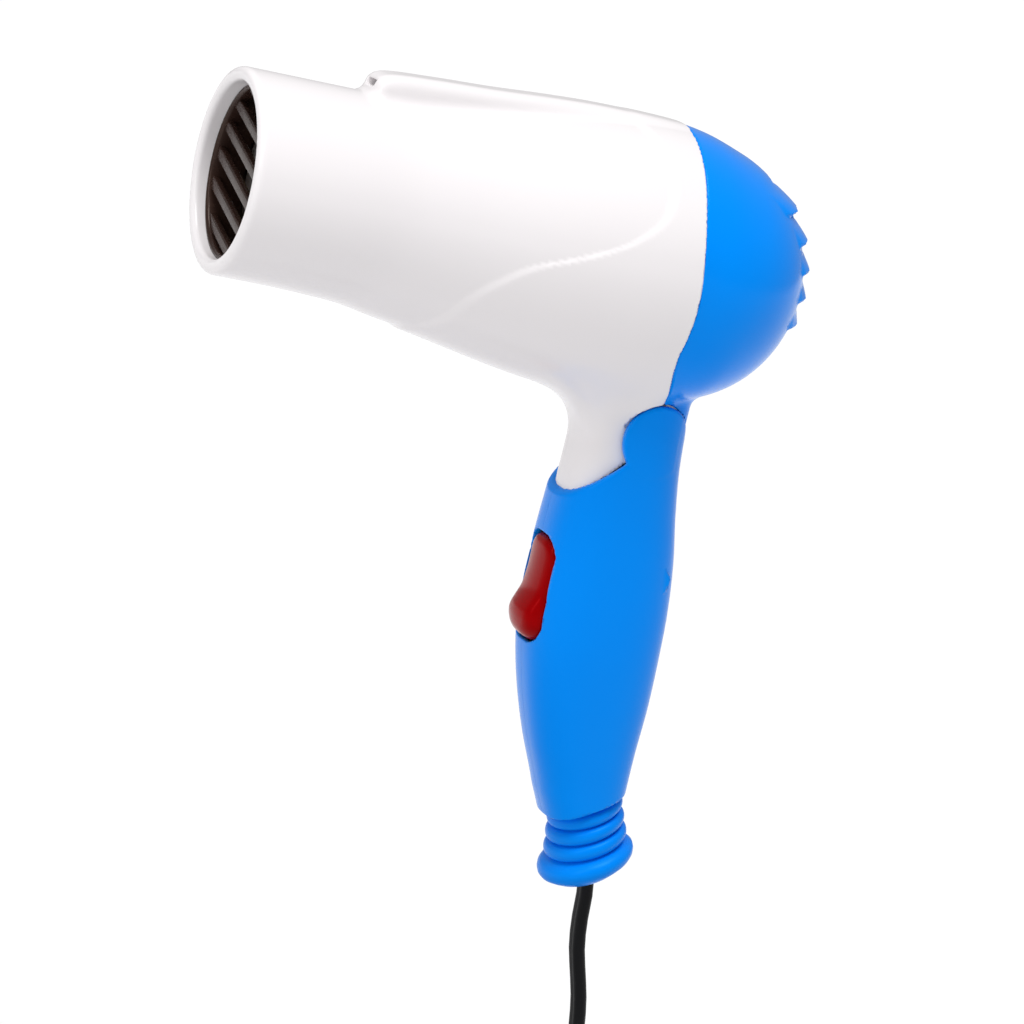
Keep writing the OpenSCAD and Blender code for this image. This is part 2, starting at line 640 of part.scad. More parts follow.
module cord_tie() {
    w = hank_x(tie_half) + 0.1;
    color([0.25, 0.25, 0.27]) translate([hank_at[0], 0, hank_at[2]]) difference() {
        translate([-w - 1.2, hank_front - 1.3, -tie_half]) cube([2 * w + 2.4, hank_back - hank_front + 2.6, 2 * tie_half]);
        translate([-w, hank_front - 0.1, -tie_half - 1]) cube([2 * w, hank_back - hank_front + 0.2, 2 * tie_half + 2]);
    }
}
plug_at = [24, 21.8, -224];               // top of the plug body
plug_l = 30;                              // length of the plug body
relief_l = 20;                            // length of its tapered strain relief
shank_r = pin_r - 0.5;                    // radius of the pins inside the body
// Out of the back of the hank under the tie, down to the plug
tail_route = [[28.1, 13.5, -184], [27.6, 14.8, -186], [27, 16.4, -188],
    [26.3, 18, -190], [25.3, 19.7, -193], [24.6, 20.9, -196], [24.2, 21.5, -199],
    [24, 21.8, -202.3], [24, 21.8, -204]];
module cord_tail() {
    color([0.1, 0.1, 0.1]) sweep(tail_route, cord_t, cord_w);
}
module plug_body() {
    color([0.1, 0.1, 0.1]) translate(plug_at) difference() {
        union() {
            hull() {
                for (x = [-4, 4]) translate([x, 0, -2]) cylinder(r = 6, h = 2, $fn = 32);
                for (x = [-10.5, 10.5]) translate([x, 0, -plug_l]) cylinder(r = 7, h = 14, $fn = 32);
            }
            cylinder(r1 = 5.6, r2 = 4, h = relief_l);
        }
        for (s = [-1, 1]) translate([s * pin_pitch / 2, 0, -plug_l - 1]) cylinder(r = shank_r, h = 9);
    }
}
module plug_pins() {
    color("silver") translate(plug_at) for (s = [-1, 1]) translate([s * pin_pitch / 2, 0, -plug_l - pin_l]) {
        translate([0, 0, 1]) cylinder(r = pin_r, h = pin_l - 1);
        cylinder(r = shank_r, h = pin_l + 7);
        cylinder(r1 = 1.2, r2 = pin_r, h = 1);
    }
}

barrel_shell();
rear_cover();
intake_screen();
outlet_grille();
mica_sleeve();
mica_boards();
heater_coils();
thermostat();
thermal_fuse();
motor_carrier();
motor_can();
motor_end_cap();
motor_bushes();
rectifier_diodes();
suppression_capacitor();
head_leads();
impeller();
motor_shaft();
armature();
handle_left();
handle_right();
handle_screws();
detent_spring();
switch_housing();
switch_contacts();
switch_rocker();
handle_leads();
crimp_caps();
cord_clamp();
clamp_screws();
cord_boot();
cord_entry();
cord_lead();
cord_hank();
cord_tie();
cord_tail();
plug_body();
plug_pins();
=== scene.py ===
import math

import bmesh
import bpy
import numpy as np
from mathutils import Matrix, Vector


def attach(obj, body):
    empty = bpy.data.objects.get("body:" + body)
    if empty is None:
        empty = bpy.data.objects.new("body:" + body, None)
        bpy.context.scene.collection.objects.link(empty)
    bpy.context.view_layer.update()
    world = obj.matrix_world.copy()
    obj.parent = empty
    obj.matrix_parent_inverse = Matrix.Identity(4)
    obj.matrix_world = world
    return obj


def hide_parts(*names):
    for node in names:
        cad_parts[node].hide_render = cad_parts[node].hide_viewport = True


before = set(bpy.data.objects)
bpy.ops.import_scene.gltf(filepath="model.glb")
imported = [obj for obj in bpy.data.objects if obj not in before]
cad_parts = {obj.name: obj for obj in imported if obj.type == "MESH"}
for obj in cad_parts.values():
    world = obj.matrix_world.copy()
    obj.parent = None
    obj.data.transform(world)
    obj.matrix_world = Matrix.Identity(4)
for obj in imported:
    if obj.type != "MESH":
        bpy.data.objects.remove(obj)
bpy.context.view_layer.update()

# ---- Camera ---------------------------------------------------------------------------
# It stands to the left of the nozzle and a little above it, and looks across the handle.
scene = bpy.context.scene
camera = bpy.data.objects.new("camera", bpy.data.cameras.new("camera"))
scene.collection.objects.link(camera)
scene.camera = camera
camera.data.sensor_width = 36
camera.data.lens = 136.05
camera.matrix_world = Matrix((
    (0.9039, -0.1497, -0.4007, -0.3916),
    (-0.3553, 0.2591, -0.8981, -0.8171),
    (0.2382, 0.9542, 0.1810, 0.1935),
    (0, 0, 0, 1)))

# ---- Cord -----------------------------------------------------------------------------
# A flat twin flex with black extruded insulation, 5.2 by 3.3 mm. It leaves the boot, hangs
# straight down, and its spare length is wound into a hank of two layers held by a band.
CORD_THICK, CORD_WIDE = 3.3, 5.2
HANK_X, HANK_Z = 24.0, -173.1
HANK_RUN, HANK_FOLD, HANK_WAIST = 39.0, 15.8, 5.0
HANK_TURNS, TURN_STEPS = 5, 90
LAYER_1, LAYER_2 = 5.3, 10.6


def ease(t):
    """A smooth step from 0 to 1 as t goes from 0 to 1."""
    t = np.clip(t, 0, 1)
    return t * t * (3 - 2 * t)


def hank_point(turn):
    """Middle of the cord after that many turns from the waist's right side, going down."""
    side = 3.4 * min(turn, HANK_TURNS - turn)
    fold, waist = HANK_FOLD + side, HANK_WAIST + side
    y = LAYER_1 + (LAYER_2 - LAYER_1) * float(ease((turn - 2.4) / 0.3))
    arc = math.pi * fold
    s = (turn % 1) * (4 * HANK_RUN + 2 * arc)

    def run(z):
        return waist + (fold - waist) * float(ease(abs(z) / HANK_RUN))

    if s < HANK_RUN:
        x, z = run(s), -s
    elif s < HANK_RUN + arc:
        a = (s - HANK_RUN) / fold
        x, z = fold * math.cos(a), -HANK_RUN - fold * math.sin(a)
    elif s < 3 * HANK_RUN + arc:
        z = s - 2 * HANK_RUN - arc
        x = -run(z)
    elif s < 3 * HANK_RUN + 2 * arc:
        a = (s - 3 * HANK_RUN - arc) / fold
        x, z = -fold * math.cos(a), HANK_RUN + fold * math.sin(a)
    else:
        z = 4 * HANK_RUN + 2 * arc - s
        x = run(z)
    return [HANK_X + x, y, HANK_Z + z]


lead = [[15.433, 0, -57.548], [15.914, 0, -59.074], [16.4, 0, -62], [16.6, 0, -65], [16.8, 0, -68],
        [17.3, 0, -72], [18.1, 0, -76], [19.3, 0, -80], [20.6, 0, -84], [21.8, 0, -88],
        [22.7, 0, -92], [23.4, 0, -96], [23.8, 0, -100], [24, 0, -104], [24, 0, -110],
        [24, 0, -117], [24, 0, -124]]
LEAD_STEPS = 12
lead_end = lead[-1][2] - 4
for i in range(LEAD_STEPS):
    t = i / LEAD_STEPS
    aside = float(ease(t))
    lead.append([HANK_X + HANK_WAIST * aside, LAYER_1 * aside, lead_end + (HANK_Z - lead_end) * t])
wound = [hank_point(i / TURN_STEPS) for i in range(HANK_TURNS * TURN_STEPS + 1)]
tail = [[28.9, 11.1, -178], [28.6, 12.1, -181], [28.1, 13.5, -184], [27.6, 14.8, -186], [27, 16.4, -188],
        [26.3, 18, -190], [25.3, 19.7, -193], [24.6, 20.9, -196], [24.2, 21.5, -199],
        [24, 21.8, -202.3], [24, 21.8, -204]]
route = np.array(lead + wound + tail)


def add_piece(name, points, faces):
    """A mesh object at the origin, from points in millimetres."""
    mesh = bpy.data.meshes.new(name)
    places = [tuple(p) for p in np.asarray(points, float) / 1000]
    mesh.from_pydata(places, [], [tuple(int(i) for i in f) for f in faces])
    mesh.update()
    mesh.shade_smooth()
    piece = bpy.data.objects.new(name, mesh)
    scene.collection.objects.link(piece)
    return piece


def add_loft(name, rings):
    """A closed skin through rings of equal length, with flat ends, turned to face outwards."""
    rings = np.asarray(rings, float)
    m, n = rings.shape[:2]
    faces = [(j * n + i, j * n + (i + 1) % n, (j + 1) * n + (i + 1) % n, (j + 1) * n + i)
             for j in range(m - 1) for i in range(n)]
    faces += [tuple(range(n - 1, -1, -1)), tuple(range((m - 1) * n, m * n))]
    piece = add_piece(name, rings.reshape(-1, 3), faces)
    turn_out(piece)
    return piece


def add_hoop(name, rings):
    """A skin through rings of equal length whose last ring joins the first."""
    m, n = len(rings), len(rings[0])
    faces = [(j * n + i, j * n + (i + 1) % n, ((j + 1) % m) * n + (i + 1) % n, ((j + 1) % m) * n + i)
             for j in range(m) for i in range(n)]
    piece = add_piece(name, np.reshape(rings, (-1, 3)), faces)
    turn_out(piece)
    return piece


def turn_out(piece):
    """Makes every face of a closed mesh point outwards."""
    bm = bmesh.new()
    bm.from_mesh(piece.data)
    bmesh.ops.recalc_face_normals(bm, faces=bm.faces)
    if bm.calc_volume(signed=True) < 0:
        bmesh.ops.reverse_faces(bm, faces=bm.faces)
    bm.to_mesh(piece.data)
    bm.free()


def sweep_rings(path, section):
    """The section's (across, wide) points carried along the path, wide along Y."""
    path = np.asarray(path, float)
    way = np.empty_like(path)
    way[1:-1] = path[2:] - path[:-2]
    way[0], way[-1] = path[1] - path[0], path[-1] - path[-2]
    way /= np.linalg.norm(way, axis=1)[:, None]
    wide = np.array([0, 1.0, 0]) - way[:, 1:2] * way
    wide /= np.linalg.norm(wide, axis=1)[:, None]
    across = np.cross(wide, way)
    return [[p + u * a + v * b for a, b in section] for p, u, v in zip(path, across, wide)]


core = CORD_WIDE / 2 - CORD_THICK / 2
lobe = [math.radians(a) for a in np.linspace(-33, 213, 9)]
twin = [(CORD_THICK / 2 * math.cos(a), core + CORD_THICK / 2 * math.sin(a)) for a in lobe]
twin += [(-x, -y) for x, y in twin]
cord = add_loft("cord", sweep_rings(route, twin))


def finish_of(name, colour, shade, rough=0.3, spread=0.06, grain=700, bump=0.05, depth=0.00006,
              patch=60, metal=0.0, shine=0.3, tint_of_shine=(1, 1, 1), streak=(1, 1, 1)):
    """A moulded or drawn finish: slow colour patches, finer grain in gloss and relief."""
    mat = bpy.data.materials.new(name)
    mat.use_nodes = True
    nodes, links = mat.node_tree.nodes, mat.node_tree.links
    shader = nodes["Principled BSDF"]
    shader.inputs["Metallic"].default_value = metal
    shader.inputs["Specular Tint"].default_value = (*tint_of_shine, 1)
    shader.inputs["Specular IOR Level"].default_value = shine
    place = nodes.new("ShaderNodeTexCoord")
    stretch = nodes.new("ShaderNodeMapping")
    stretch.inputs["Scale"].default_value = streak
    links.new(place.outputs["Object"], stretch.inputs["Vector"])
    slow = nodes.new("ShaderNodeTexNoise")
    slow.inputs["Scale"].default_value = patch
    slow.inputs["Detail"].default_value = 3
    fine = nodes.new("ShaderNodeTexNoise")
    fine.inputs["Scale"].default_value = grain
    fine.inputs["Detail"].default_value = 4
    for tex in (slow, fine):
        links.new(stretch.outputs["Vector"], tex.inputs["Vector"])
    tint = nodes.new("ShaderNodeMix")
    tint.data_type = "RGBA"
    tint.inputs[6].default_value = (*colour, 1)
    tint.inputs[7].default_value = (*shade, 1)
    links.new(slow.outputs["Fac"], tint.inputs["Factor"])
    links.new(tint.outputs[2], shader.inputs["Base Color"])
    gloss = nodes.new("ShaderNodeMapRange")
    gloss.inputs["To Min"].default_value = max(0.02, rough - spread)
    gloss.inputs["To Max"].default_value = rough + spread
    links.new(fine.outputs["Fac"], gloss.inputs["Value"])
    links.new(gloss.outputs["Result"], shader.inputs["Roughness"])
    relief = nodes.new("ShaderNodeBump")
    relief.inputs["Strength"].default_value = bump
    relief.inputs["Distance"].default_value = depth
    links.new(fine.outputs["Fac"], relief.inputs["Height"])
    links.new(relief.outputs["Normal"], shader.inputs["Normal"])
    return mat


def wear(piece, mat):
    """Puts one material on a piece."""
    piece.data.materials.clear()
    piece.data.materials.append(mat)


black_flex = finish_of("black_flex", (0.003, 0.003, 0.004), (0.006, 0.006, 0.007), rough=0.4, grain=1500,
                       bump=0.15, shine=0.12)
wear(cord, black_flex)
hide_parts("cord_lead", "cord_hank", "cord_tail")
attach(cord, "handle")
wear(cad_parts["cord_entry"], black_flex)

# The band that holds the hank: a strap of grey rubber pulled tight round its waist.
def oval(half_x, half_y, power, count=48):
    """Points round an oblong with rounded corners, squarer for a higher power."""
    ring = []
    for i in range(count):
        c, s = math.cos(2 * math.pi * i / count), math.sin(2 * math.pi * i / count)
        k = (abs(c) ** power + abs(s) ** power) ** (-1 / power)
        ring.append((half_x * c * k, half_y * s * k))
    return ring


band_in, band_out = (16.6, 8.1), (17.7, 9.3)
band_profile = [(-5.4, 0), (-5.5, 0.3), (-5.4, 0.8), (-4.9, 1), (-2, 1), (0, 0.86), (2, 1), (4.9, 1),
                (5.4, 0.8), (5.5, 0.3), (5.4, 0)]
band_rings = []
for z, t in band_profile:
    hx, hy = (a + (b - a) * t for a, b in zip(band_in, band_out))
    band_rings.append([(HANK_X + x, LAYER_1 + y, HANK_Z + z) for x, y in oval(hx, hy, 5)])
band = add_hoop("cord_band", band_rings)
band_rubber = finish_of("band_rubber", (0.05, 0.05, 0.055), (0.08, 0.08, 0.085), rough=0.6, grain=900, bump=0.3)
wear(band, band_rubber)
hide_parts("cord_tie")
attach(band, "handle")

# The plug: soft black body moulded over the ends of the flex, with a ribbed strain relief,
# thumb hollows on its broad sides and two nickel-plated pins.
PLUG_X, PLUG_Y, PLUG_Z = 24.0, 21.8, -224.0
plug_profile = [
    (20, 3.4, 3.2, 2), (19.4, 4, 3.8, 2), (16, 4.2, 4, 2), (15.8, 3.6, 3.4, 2), (14.6, 3.6, 3.4, 2),
    (14.4, 4.5, 4.2, 2), (11, 4.7, 4.4, 2), (10.8, 4, 3.8, 2), (9.6, 4, 3.8, 2), (9.4, 5, 4.7, 2),
    (6, 5.2, 4.9, 2), (5.8, 4.6, 4.3, 2), (4.6, 4.6, 4.3, 2), (4.4, 5.4, 5.1, 2),
    (1, 6.4, 5.6, 2.2), (-2, 9.4, 5.8, 2.6), (-6, 12.4, 5.7, 3), (-10, 14.6, 5.5, 3.4),
    (-14, 16, 5.7, 3.6), (-18, 16.9, 6.3, 3.8), (-22, 17.3, 6.8, 3.8), (-27, 17.4, 6.9, 3.8),
    (-29.2, 17.2, 6.8, 3.8), (-29.9, 16.5, 6.2, 3.8), (-30, 15.8, 5.6, 3.8)]
plug_rings = [[(PLUG_X + x, PLUG_Y + y, PLUG_Z + z) for x, y in oval(hx, hy, power)]
              for z, hx, hy, power in plug_profile]
plug = add_loft("plug_moulding", plug_rings)
plug_skin = finish_of("plug_skin", (0.014, 0.014, 0.015), (0.022, 0.022, 0.023), rough=0.45, grain=1200,
                      bump=0.2)
wear(plug, plug_skin)
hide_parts("plug_body")
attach(plug, "handle")
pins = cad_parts["plug_pins"]
nickel = finish_of("nickel", (0.7, 0.69, 0.66), (0.6, 0.59, 0.56), rough=0.2, grain=2500, bump=0.05, metal=1,
                   streak=(1, 1, 0.05))
wear(pins, nickel)

# ---- Barrel ---------------------------------------------------------------------------
# The white front casing, one glossy moulding: a nozzle with a thick rolled lip, a raised
# sleeve behind a leaf-shaped edge, the spine on top with its outlet slot, and the neck.
AXIS, MOUTH, PIVOT, DOME = 95.0, 115.0, 53.0, 31.6
WALL, BORE_R, BORE_DEPTH = 2, 20.1, 6
DRUM_R, DRUM_HALF = 8.2, 9.8
EAR_ROOM_R, EAR_ROOM_SIDE = 9.15, 9.95


def smooth_min(a, b, k):
    """Joins two shapes with a fillet about k wide; smooth_max cuts one by the other."""
    h = np.clip(0.5 + 0.5 * (b - a) / k, 0, 1)
    return b + (a - b) * h - k * h * (1 - h)


def smooth_max(a, b, k):
    return -smooth_min(-a, -b, k)


def through(t, knots, values):
    """Smooth curve through the knots, level outside them."""
    knots, values = np.asarray(knots, float), np.asarray(values, float)
    slopes = np.gradient(values, knots)
    slopes[0] = slopes[-1] = 0
    i = np.clip(np.searchsorted(knots, t) - 1, 0, len(knots) - 2)
    h = knots[i + 1] - knots[i]
    s = np.clip((t - knots[i]) / h, 0, 1)
    return ((2 * s ** 3 - 3 * s ** 2 + 1) * values[i] + (s ** 3 - 2 * s ** 2 + s) * h * slopes[i]
            + (3 * s ** 2 - 2 * s ** 3) * values[i + 1] + (s ** 3 - s ** 2) * h * slopes[i + 1])


def skin_of(name, field, axes, bend=None, cuts=()):
    """A closed mesh where field is 0, negative inside, on a grid of three lists of places.

    Each cell that the surface crosses gets one point, which then slides onto the surface.
    bend moves the grid, so that its layers follow an edge that has to come out crisp. cuts
    are (point, normal) planes that halve the piece, and each cut is closed flat.
    """
    grid = np.stack(np.meshgrid(*axes, indexing="ij"), -1)
    if bend:
        grid = bend(grid)
    value = field(grid)
    inside = value < 0
    shape = tuple(s - 1 for s in value.shape)

    def corner(a, di, dj, dk):
        return a[di:di + shape[0], dj:dj + shape[1], dk:dk + shape[2]]

    count = sum(corner(inside, i, j, k).astype(np.int8) for i in (0, 1) for j in (0, 1) for k in (0, 1))
    cells = (count > 0) & (count < 8)
    number = np.full(shape, -1)
    number[cells] = np.arange(cells.sum())
    total, hits = np.zeros((cells.sum(), 3)), np.zeros(cells.sum())
    for axis in range(3):
        for p in (0, 1):
            for q in (0, 1):
                low = [0, 0, 0]
                low[(axis + 1) % 3], low[(axis + 2) % 3] = p, q
                high = list(low)
                high[axis] = 1
                va, vb = corner(value, *low)[cells], corner(value, *high)[cells]
                pa, pb = corner(grid, *low)[cells], corner(grid, *high)[cells]
                cross = (va < 0) != (vb < 0)
                t = np.where(cross, va / np.where(cross, va - vb, 1), 0)[:, None]
                total += np.where(cross[:, None], pa + t * (pb - pa), 0)
                hits += cross
    points = total / hits[:, None]
    faces = []
    for axis in range(3):
        b, c = (axis + 1) % 3, (axis + 2) % 3
        lo = [slice(1, -1)] * 3
        hi = [slice(1, -1)] * 3
        lo[axis], hi[axis] = slice(0, -1), slice(1, None)
        start, end = inside[tuple(lo)], inside[tuple(hi)]
        where = np.argwhere(start != end)
        base = where + 1
        base[:, axis] -= 1
        outward = start[tuple(where.T)]
        ring = []
        for p, q in ((-1, -1), (0, -1), (0, 0), (-1, 0)):
            at = base.copy()
            at[:, b] += p
            at[:, c] += q
            ring.append(number[tuple(at.T)])
        ring = np.stack(ring, 1)
        ring[~outward] = ring[~outward][:, ::-1]
        faces.append(ring)
    faces = np.concatenate(faces)
    step = min(float(np.diff(a).min()) for a in axes)

    def slope(at):
        out = np.empty_like(at)
        for i in range(3):
            d = np.zeros(3)
            d[i] = 0.02
            out[:, i] = (field(at + d) - field(at - d)) / 0.04
        return out

    for _ in range(4):
        g = slope(points)
        move = g * (field(points) / np.maximum((g ** 2).sum(1), 1e-3))[:, None]
        size = np.linalg.norm(move, axis=1)
        points -= move * np.minimum(1, 0.4 * step / np.maximum(size, 1e-9))[:, None]
    piece = add_piece(name, points, faces)
    for point, normal in cuts:
        bm = bmesh.new()
        bm.from_mesh(piece.data)
        out = bmesh.ops.bisect_plane(bm, geom=bm.verts[:] + bm.edges[:] + bm.faces[:], dist=1e-7,
                                     plane_co=[c / 1000 for c in point], plane_no=normal, clear_outer=True)
        rim = [e for e in out["geom_cut"] if isinstance(e, bmesh.types.BMEdge)]
        bmesh.ops.triangle_fill(bm, edges=rim, use_beauty=True, normal=normal)
        bm.to_mesh(piece.data)
        bm.free()
    mesh = piece.data
    mesh.shade_smooth()
    at = np.empty(len(mesh.vertices) * 3)
    mesh.vertices.foreach_get("co", at)
    g = slope(at.reshape(-1, 3) * 1000)
    g /= np.maximum(np.linalg.norm(g, axis=1), 1e-9)[:, None]
    corner_of = np.empty(len(mesh.loops), int)
    mesh.loops.foreach_get("vertex_index", corner_of)
    flat = np.empty(len(mesh.polygons) * 3)
    mesh.polygons.foreach_get("normal", flat)
    sizes = np.empty(len(mesh.polygons), int)
    mesh.polygons.foreach_get("loop_total", sizes)
    flat = np.repeat(flat.reshape(-1, 3), sizes, axis=0)
    near = g[corner_of]
    near = np.where(((near * flat).sum(1) > 0.55)[:, None], near, flat)
    mesh.normals_split_custom_set([tuple(v) for v in near])
    return piece


def leaf_edge(turn):
    """How far behind the mouth the sleeve starts, by the angle from the top in degrees."""
    return through(turn, [0, 26, 39, 49, 57, 69, 77, 84, 91, 99, 111, 125, 144, 162, 180],
                   [91, 94, 96, 96.6, 96.4, 94.2, 90, 84.5, 77, 68, 60.7, 55.8, 52.5, 48.5, 47])


def barrel_field(p):
    """The whole round body, nozzle to dome: it widens to the rear, and its belly has a low keel."""
    x, y, z = p[..., 0], p[..., 1], p[..., 2]
    u = x + MOUTH
    w = z - AXIS + 2.17 * ease((u - 104) / 18)
    r = np.hypot(y, w)
    turn = np.degrees(np.arctan2(np.abs(y), w))
    down = np.clip(-w / np.maximum(r, 1e-6), 0, 1)
    keel = through(u, [4, 24, 32, 39, 47.7, 55.6, 63.4, 71.3, 79.2, 87, 100, 106, 112, 118, 124],
                   [0.3, 0.8, 1.4, 2.4, 2.9, 3.3, 3.7, 4, 4.2, 4.2, 3.6, 2.6, 1.4, 0.5, 0]) * down ** 3
    leaf = 0.5 * ease((u - 24) / 16) * ease(0.5 + (leaf_edge(turn) - u) / 3.2)
    radius = 23.4 + 7.9 * ease((u - 24) / 80) + keel - leaf
    t = np.maximum(u - 111.4, 0) / DOME
    return (((r / radius) ** 2.07 + t ** 2.07) ** (1 / 2.07) - 1) * radius


def column_field(p):
    """The neck under the fan, an upright block with soft corners."""
    x, y = p[..., 0] + 3.6, p[..., 1]
    q = (np.abs(x / 13) ** 3 + np.abs(y / 9.8) ** 3) ** (1 / 3)
    return smooth_max((q - 1) * 9.8, p[..., 2] - 84, 2)


def fillet_at(x):
    """Broad fillet between barrel and neck in front, a tight one behind."""
    return 12.5 - 10.3 * ease((x + 7) / 12)


def seam_at(z):
    """Where the white casing meets the blue cover, by height."""
    return through(z, [60, 64, 68, 72, 76, 80, 86, 92, 99, 108, 120, 127],
                   [-0.9, -1.9, -4, -6, -7.2, -7.4, -7.7, -8.3, -9.3, -10.1, -10, -9.4])


def ear_pocket(p):
    """Room for the handle's round ears on both sides of the pivot."""
    d = np.hypot(p[..., 0], p[..., 2] - PIVOT)
    return smooth_max(d - EAR_ROOM_R, EAR_ROOM_SIDE - np.abs(p[..., 1]), 0.3)


def front_field(p):
    """The white casing: body, neck, spine and drum, less its bore, slots and the ears' room."""
    x, y, z = p[..., 0], p[..., 1], p[..., 2]
    u, w, side = x + MOUTH, z - AXIS, np.abs(y)
    barrel, column = barrel_field(p), column_field(p)
    outer = smooth_min(barrel, column, fillet_at(x))
    top = through(u, [28, 33, 43, 58, 73, 85, 97, 106, 112],
                  [28, 28.8, 29.5, 30.2, 31.2, 31.7, 31.4, 30.6, 29.6])
    ridge = smooth_max(smooth_max(w - top, side - 5.9, 3.4), 28.2 - u, 3.4)
    ridge = smooth_max(ridge, 12 - w, 0.5)
    f = smooth_min(outer, ridge, 2.4)
    slot = smooth_max(smooth_max(np.abs(w - 25.9) - 0.8, side - 2.6, 0.4), u - 35, 0.3)
    f = smooth_max(f, -slot, 0.4)
    f = smooth_max(f, -(u + 0.03 * (w + 23.4)), 1.8)
    f = smooth_max(f, x - seam_at(z), 0.3)
    edge = -0.723 * x + 0.691 * (z - PIVOT)
    f = smooth_max(f, np.where(z < 62, -edge, -9), 0.3)
    d = np.hypot(x, z - PIVOT)
    drum = smooth_max(smooth_max(d - DRUM_R, side - DRUM_HALF, 0.5), column + 0.4, 0.5)
    f = smooth_min(f, drum, 0.4)
    inner = smooth_max(smooth_min(barrel, column, 5) + WALL, 3.6 - u, 1.2)
    r = np.hypot(y, w)
    mouth = smooth_max(r - BORE_R, u - BORE_DEPTH, 0.5)
    f = smooth_max(f, -smooth_min(inner, mouth, 0.8), 1.5)
    inside_drum = smooth_max(d - (DRUM_R - WALL), side - (DRUM_HALF - WALL), 0.4)
    way = smooth_max(0.707 * d - (x * 0.052 - (z - PIVOT) * 0.999), side - 6, 0.4)
    f = smooth_max(f, -smooth_min(inside_drum, way, 0.3), 0.3)
    f = smooth_max(f, -ear_pocket(p), 0.3)
    return smooth_max(f, 3.56 - d, 0.2)


def steps(low, high, step):
    """Grid places from low to high, about that step apart."""
    return np.linspace(low, high, int(round((high - low) / step)) + 1)


def along_seam(grid):
    """Shifts the grid behind the sleeve so that its layers follow the joint with the dome."""
    grid[..., 0] += seam_at(grid[..., 2]) * ease((grid[..., 0] + 60) / 45)
    return grid


front_layers = (steps(-118, -108, 0.5), steps(-107.25, -0.75, 0.75), [-0.25, 0.25], steps(1, 19, 0.8))
front_grid = (np.concatenate(front_layers), steps(-33.2, 33.2, 0.78), steps(34, 129, 0.78))
front = skin_of("front_casing", front_field, front_grid, bend=along_seam)
white_gloss = finish_of("white_gloss", (0.875, 0.845, 0.855), (0.85, 0.818, 0.832), rough=0.2, spread=0.03,
                        grain=500, bump=0.02, patch=22, shine=0.4)
wear(front, white_gloss)
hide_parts("barrel_shell")
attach(front, "head")

# ---- Rear cover -----------------------------------------------------------------------
# The blue dome clipped onto the barrel's rear. Five ribs cross its intake slots, and a tail
# below closes the back of the neck and rests on the handle when the dryer is open.
RIB_PITCH = 6.5
RIBS = [19.2 - RIB_PITCH * i for i in range(5)]


def cover_field(p):
    """The blue cover: dome, ribs and slots, a spigot inside the barrel, and the tail."""
    x, y, z = p[..., 0], p[..., 1], p[..., 2]
    w, side = z - AXIS, np.abs(y)
    barrel, column = barrel_field(p), column_field(p)
    f = smooth_min(barrel, column, fillet_at(x))
    for place in RIBS:
        s = w - place + 0.006 * side ** 2
        fin = 1.5 * np.where(s > 0, 1 - s / 3.4, 1 + s / 0.9)
        rib = smooth_max(barrel - fin * ease((21 - side) / 7) * ease((x - 8) / 6), np.abs(s - 1.2) - 2.4, 0.4)
        rib = smooth_max(rib, side - 18.5, 1.5)
        f = smooth_min(f, rib, 0.3)
    f = smooth_max(f, seam_at(z) + 0.08 - x, 0.3)
    f = smooth_max(f, -(barrel + WALL), 0.4)
    r = np.hypot(y, w)
    spigot = smooth_max(np.abs(r - 28.4) - 0.9, np.abs(x + 9) - 3.4, 0.3)
    f = smooth_min(f, spigot, 0.3)
    for i in range(6):
        reach = 15 - 1.6 * abs(i - 2.5)
        middle = RIBS[0] + (0.5 - i) * RIB_PITCH - 0.006 * side ** 2
        gap = smooth_max(smooth_max(np.abs(w - middle - 1) - 0.9, side - reach, 1.6), 13 - x, 0.5)
        f = smooth_max(f, -gap, 0.4)
    d = np.hypot(x, z - PIVOT)
    f = smooth_max(f, 9.05 - d, 0.3)
    f = smooth_max(f, np.where(x < 14, 55.3 - z, -5), 0.3)
    return smooth_max(f, -ear_pocket(p), 0.3)


cover_grid = (np.concatenate((steps(-6, -0.75, 0.75), [-0.2, 0.3], steps(1, 46, 0.7))),
              steps(-33, 33, 0.75), steps(53, 128.5, 0.7))
cover = skin_of("rear_dome", cover_field, cover_grid, bend=along_seam)
blue_gloss = finish_of("blue_gloss", (0.0, 0.27, 0.96), (0.0, 0.245, 0.91), rough=0.2, spread=0.04, grain=600,
                       bump=0.02, patch=25, shine=0.3, tint_of_shine=(0.1, 0.5, 1))
wear(cover, blue_gloss)
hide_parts("rear_cover")
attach(cover, "head")

# ---- Handle ---------------------------------------------------------------------------
# Two blue shells that meet on the middle plane, screwed together from the far side. Their
# round ears hold the neck, and a rounded opening in front takes the rocker.
GRIP_Z = [-48, -36, -24, -12, 0, 12, 24, 36, 46, 64]
GRIP_FRONT = [1.2, -3.6, -9.2, -13.7, -16.9, -18.3, -18.5, -18.2, -17.8, -17.6]
GRIP_REAR = [19, 18.4, 18.1, 18.2, 17.7, 16.9, 15.2, 12.5, 10.6, 9.4]
GRIP_HALF = [9.8, 10.4, 11.5, 12.6, 13.3, 13.3, 12.9, 12.5, 12.4, 12.4]
BOSSES = [(9.6, 20, 10.8), (2.4, -19, 11)]
EAR_R, EAR_INNER = 8.8, 10.2
BOOT_AT, BOOT_SIN, BOOT_COS = (9.9, -37.9), 0.4695, 0.8829


